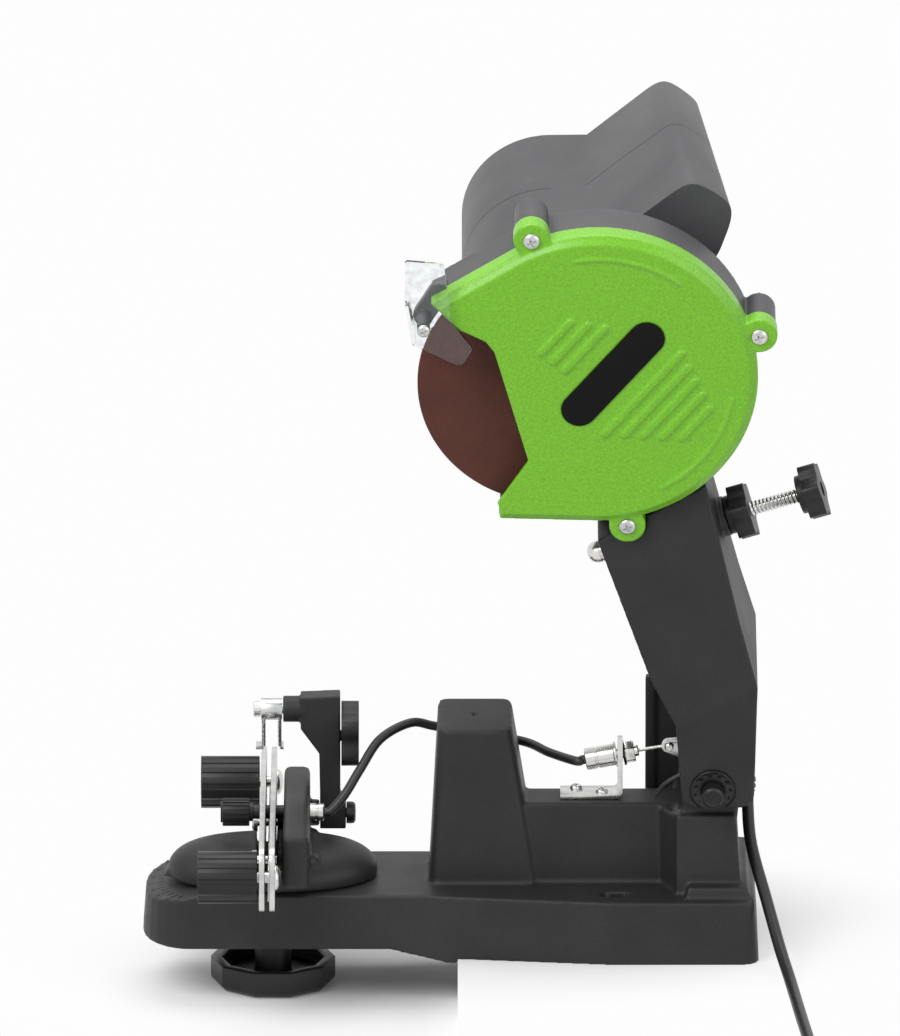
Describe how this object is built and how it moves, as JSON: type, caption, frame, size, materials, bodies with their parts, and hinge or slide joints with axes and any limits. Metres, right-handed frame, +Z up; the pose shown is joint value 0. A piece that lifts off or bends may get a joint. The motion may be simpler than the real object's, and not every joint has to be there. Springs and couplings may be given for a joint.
{
  "type": "electric chainsaw sharpener",
  "caption": "Bench-mounted electric chainsaw sharpener: tilting grinding head with a green disc guard, cable-operated chain vise, depth screw and mains cord.",
  "frame": {"origin": "middle of the rear foot's underside, which rests on the bench", "axes": "+Z up from the bench, -X towards the operator's end with the vise, +Y towards the motor's rear end"},
  "size_m": [0.3724, 0.4853, 0.4717],
  "materials": {
    "base_black": "matt powder coat",
    "zinc": "zinc plated",
    "steel": "plain turned steel",
    "black_steel": "black oxide",
    "rubber": "matt black sheath",
    "lime_plastic": "lime green, slightly glossy",
    "grey_plastic": "dark grey, fine grain",
    "label_gloss": "glossy black, bare",
    "clear_shield": "clear polycarbonate",
    "laminations": "laminated steel",
    "carbon": "black",
    "abrasive": "reddish brown bonded abrasive",
    "copper": "copper bars",
    "knob_black": "black moulded plastic"
  },
  "bodies": {
    "base": {"base_casting": "base_black", "cable_bracket": "zinc", "cable_barrel": "steel", "lock_nut": "steel", "inner_wire": "steel", "cable_housing": "rubber", "torsion_spring": "black_steel", "strain_relief": "rubber", "cord_stretch": "rubber", "cord_coil": "rubber", "mains_plug": "rubber"},
    "arm": {"arm": "base_black", "head_bracket": "base_black", "pivot_shaft": "black_steel", "pivot_washer": "black_steel", "cable_lever": "zinc", "cable_nipple": "steel", "green_cover": "lime_plastic", "guard_housing": "grey_plastic", "label_plate": "label_gloss", "eye_shield": "clear_shield", "motor_housing_front": "grey_plastic", "motor_housing_rear": "grey_plastic", "stator": "laminations", "left_brush": "carbon", "right_brush": "carbon", "front_bearing": "steel", "rear_bearing": "steel"},
    "spindle": {"grinding_disc": "abrasive", "inner_flange": "steel", "outer_flange": "steel", "arbor_nut": "steel", "motor_shaft": "steel", "rotor_core": "laminations", "commutator": "copper", "cooling_fan": "carbon"},
    "rocker": {"switch_rocker": "knob_black"},
    "depth_stop": {"depth_screw": "steel"},
    "depth_knob_body": {"depth_knob": "knob_black"},
    "jam_nut_body": {"jam_nut": "knob_black"},
    "vise": {"vise_turntable": "base_black", "fixed_rail": "zinc", "guide_strip": "steel", "near_guide_pin": "steel", "far_guide_pin": "steel", "near_rail_bolt": "steel", "far_rail_bolt": "steel", "cable_ferrule": "steel", "stop_bolt": "black_steel", "swivel_stud": "steel"},
    "jaw": {"moving_rail": "zinc"},
    "near_knob": {"near_rail_knob": "knob_black"},
    "far_knob": {"far_rail_knob": "knob_black"},
    "tension": {"tension_adjuster": "knob_black"},
    "stop_arm_body": {"stop_arm": "base_black", "pawl_pin": "steel"},
    "pawl": {"chain_pawl": "zinc"},
    "stop_knob_body": {"stop_knob": "knob_black"},
    "clamp_knob_body": {"clamp_knob": "knob_black"}
  },
  "joints": [
    {"name": "arm_tilt", "type": "hinge", "parent": "base", "child": "arm", "pos_m": [0.0562, 0, 0.1037], "axis": [0, -0.9833, -0.1822], "range_deg": [0, 51], "stiffness_Nm_per_rad": 3, "springref_deg": -68.75, "deforming": ["torsion_spring", "inner_wire"]},
    {"name": "disc_spin", "type": "hinge", "parent": "arm", "child": "spindle", "pos_m": [-0.0308, -0.04201, 0.33034], "axis": [0, 0.9833, 0.1822], "continuous": true},
    {"name": "switch_rock", "type": "hinge", "parent": "arm", "child": "rocker", "pos_m": [0.0232, 0.13488, 0.41855], "axis": [-1, 0, 0], "range_deg": [0, 14]},
    {"name": "depth_feed", "type": "slide", "parent": "arm", "child": "depth_stop", "axis": [0.9532, -0.0551, 0.2973], "range_m": [0, 0.012]},
    {"name": "depth_knob_turn", "type": "hinge", "parent": "depth_stop", "child": "depth_knob_body", "pos_m": [-0.0065, -0.01366, 0.22128], "axis": [0.9532, -0.0551, 0.2973], "range_deg": [-180, 180]},
    {"name": "jam_nut_turn", "type": "hinge", "parent": "arm", "child": "jam_nut_body", "pos_m": [-0.0065, -0.01366, 0.22128], "axis": [0.9532, -0.0551, 0.2973], "range_deg": [-180, 180]},
    {"name": "vise_swivel", "type": "hinge", "parent": "base", "child": "vise", "pos_m": [-0.182, 0, 0], "axis": [0, 0, 1], "range_deg": [-30, 30], "deforming": ["cable_housing"]},
    {"name": "clamp_knob_turn", "type": "hinge", "parent": "vise", "child": "clamp_knob_body", "pos_m": [-0.182, 0, 0], "axis": [0, 0, 1], "range_deg": [-90, 90]},
    {"name": "jaw_close", "type": "slide", "parent": "vise", "child": "jaw", "axis": [1, 0, 0], "range_m": [0, 0.0012]},
    {"name": "near_knob_turn", "type": "hinge", "parent": "vise", "child": "near_knob", "pos_m": [-0.182, -0.085, 0.0595], "axis": [1, 0, 0], "range_deg": [-180, 180]},
    {"name": "far_knob_turn", "type": "hinge", "parent": "vise", "child": "far_knob", "pos_m": [-0.182, 0.085, 0.0595], "axis": [1, 0, 0], "range_deg": [-180, 180]},
    {"name": "tension_turn", "type": "hinge", "parent": "vise", "child": "tension", "pos_m": [-0.182, 0.003, 0.0685], "axis": [1, 0, 0], "range_deg": [-180, 180]},
    {"name": "stop_arm_tilt", "type": "hinge", "parent": "vise", "child": "stop_arm_body", "pos_m": [-0.182, 0.046, 0.0545], "axis": [-1, 0, 0], "range_deg": [0, 25]},
    {"name": "pawl_flip", "type": "hinge", "parent": "stop_arm_body", "child": "pawl", "pos_m": [-0.182, 0.046, 0.1137], "axis": [1, 0, 0], "range_deg": [0, 75]},
    {"name": "stop_knob_turn", "type": "hinge", "parent": "stop_arm_body", "child": "stop_knob_body", "pos_m": [-0.182, 0.046, 0.0984], "axis": [1, 0, 0], "range_deg": [-180, 180]}
  ],
  "couplings": [
    {"joint": "jaw_close", "follows": "arm_tilt", "m_per_rad": 0.00134}
  ]
}
